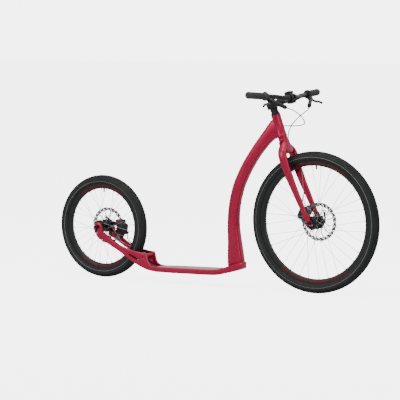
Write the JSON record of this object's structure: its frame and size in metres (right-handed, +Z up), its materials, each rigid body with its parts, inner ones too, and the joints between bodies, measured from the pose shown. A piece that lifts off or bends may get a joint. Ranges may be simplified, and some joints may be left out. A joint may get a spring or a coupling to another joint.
{
  "type": "kick scooter",
  "caption": "Adult kick scooter with a low footboard, curved main tube, large front wheel, small rear wheel, straight handlebar and hydraulic disc brakes.",
  "frame": {"origin": "on the ground, half way between the front of the front tyre and the back of the rear tyre, on the scooter's middle plane", "axes": "+X forwards, +Y towards the rider's left, +Z up"},
  "size_m": [1.7726, 0.665, 0.9375],
  "materials": {
    "frame_paint": "gloss crimson paint",
    "black_alloy": "black anodised",
    "black_plastic": "matte",
    "grip_rubber": "matte",
    "tyre": "matte",
    "tube_rubber": "matte",
    "hose": "semi gloss",
    "brake_pad": "sintered metal",
    "spoke_steel": "bright drawn wire",
    "steel": "machined"
  },
  "bodies": {
    "frame": {"main_tube": "frame_paint", "head_tube": "frame_paint", "deck": "frame_paint", "left_stay": "frame_paint", "right_stay": "frame_paint", "rear_bridge": "frame_paint", "headset_cups": "black_alloy", "headset_bearings": "steel", "rear_axle": "steel", "rear_caliper_adapter": "black_alloy", "rear_caliper": "black_alloy", "rear_caliper_bolts": "steel", "rear_hose": "hose", "rear_hose_loop": "hose"},
    "fork": {"steerer": "steel", "fork_crown": "frame_paint", "left_fork_blade": "frame_paint", "right_fork_blade": "frame_paint", "crown_race": "steel", "headset_spacers": "black_alloy", "top_cap": "black_alloy", "stem": "black_alloy", "faceplate": "black_alloy", "stem_bolts": "steel", "handlebar": "black_alloy", "left_grip": "grip_rubber", "right_grip": "grip_rubber", "bar_end_plugs": "black_plastic", "left_lever_body": "black_alloy", "right_lever_body": "black_alloy", "front_axle": "steel", "front_caliper_adapter": "black_alloy", "front_caliper": "black_alloy", "front_caliper_bolts": "steel", "front_hose": "hose"},
    "front_wheel": {"front_tyre": "tyre", "front_inner_tube": "tube_rubber", "front_rim": "black_alloy", "front_spokes": "spoke_steel", "front_hub": "black_alloy", "front_hub_bearings": "steel", "front_rotor": "steel", "front_rotor_bolts": "steel"},
    "rear_wheel": {"rear_tyre": "tyre", "rear_inner_tube": "tube_rubber", "rear_rim": "black_alloy", "rear_spokes": "spoke_steel", "rear_hub": "black_alloy", "rear_hub_bearings": "steel", "rear_rotor": "steel", "rear_rotor_bolts": "steel"},
    "left_lever": {"left_lever_blade": "black_alloy"},
    "right_lever": {"right_lever_blade": "black_alloy"},
    "front_qr": {"front_qr_lever": "black_alloy"},
    "rear_qr": {"rear_qr_lever": "black_alloy"},
    "front_inner_pad": {"front_inner_pad": "brake_pad"},
    "front_outer_pad": {"front_outer_pad": "brake_pad"},
    "rear_inner_pad": {"rear_inner_pad": "brake_pad"},
    "rear_outer_pad": {"rear_outer_pad": "brake_pad"}
  },
  "joints": [
    {"name": "steering", "type": "hinge", "parent": "frame", "child": "fork", "pos_m": [0.363, 0, 0.773], "axis": [-0.342, 0, 0.9397], "range_deg": [-58, 58], "deforming": ["rear_hose_loop"]},
    {"name": "front_wheel_spin", "type": "hinge", "parent": "fork", "child": "front_wheel", "pos_m": [0.55675, 0, 0.3295], "axis": [0, 1, 0], "continuous": true},
    {"name": "rear_wheel_spin", "type": "hinge", "parent": "frame", "child": "rear_wheel", "pos_m": [-0.63325, 0, 0.253], "axis": [0, 1, 0], "continuous": true},
    {"name": "left_lever_squeeze", "type": "hinge", "parent": "fork", "child": "left_lever", "pos_m": [0.42503, 0.19465, 0.89248], "axis": [0.7064, 0.0519, 0.7059], "range_deg": [0, 22], "stiffness_Nm_per_rad": 0.6},
    {"name": "right_lever_squeeze", "type": "hinge", "parent": "fork", "child": "right_lever", "pos_m": [0.42503, -0.19465, 0.89248], "axis": [-0.7064, 0.0519, -0.7059], "range_deg": [0, 22], "stiffness_Nm_per_rad": 0.6},
    {"name": "front_inner_pad_slide", "type": "slide", "parent": "fork", "child": "front_inner_pad", "axis": [0, 1, 0], "range_m": [0, 0.0003]},
    {"name": "front_outer_pad_slide", "type": "slide", "parent": "fork", "child": "front_outer_pad", "axis": [0, -1, 0], "range_m": [0, 0.0003]},
    {"name": "rear_inner_pad_slide", "type": "slide", "parent": "frame", "child": "rear_inner_pad", "axis": [0, 1, 0], "range_m": [0, 0.0003]},
    {"name": "rear_outer_pad_slide", "type": "slide", "parent": "frame", "child": "rear_outer_pad", "axis": [0, -1, 0], "range_m": [0, 0.0003]},
    {"name": "front_qr_open", "type": "hinge", "parent": "fork", "child": "front_qr", "pos_m": [0.55675, 0.065, 0.3295], "axis": [-0.9703, 0, 0.2419], "range_deg": [0, 170]},
    {"name": "rear_qr_open", "type": "hinge", "parent": "frame", "child": "rear_qr", "pos_m": [-0.63325, 0.066, 0.253], "axis": [-0.766, 0, -0.6428], "range_deg": [0, 170]}
  ],
  "couplings": [
    {"joint": "front_inner_pad_slide", "follows": "left_lever_squeeze", "m_per_rad": 0.00078},
    {"joint": "front_outer_pad_slide", "follows": "left_lever_squeeze", "m_per_rad": 0.00078},
    {"joint": "rear_inner_pad_slide", "follows": "right_lever_squeeze", "m_per_rad": 0.00078},
    {"joint": "rear_outer_pad_slide", "follows": "right_lever_squeeze", "m_per_rad": 0.00078}
  ]
}
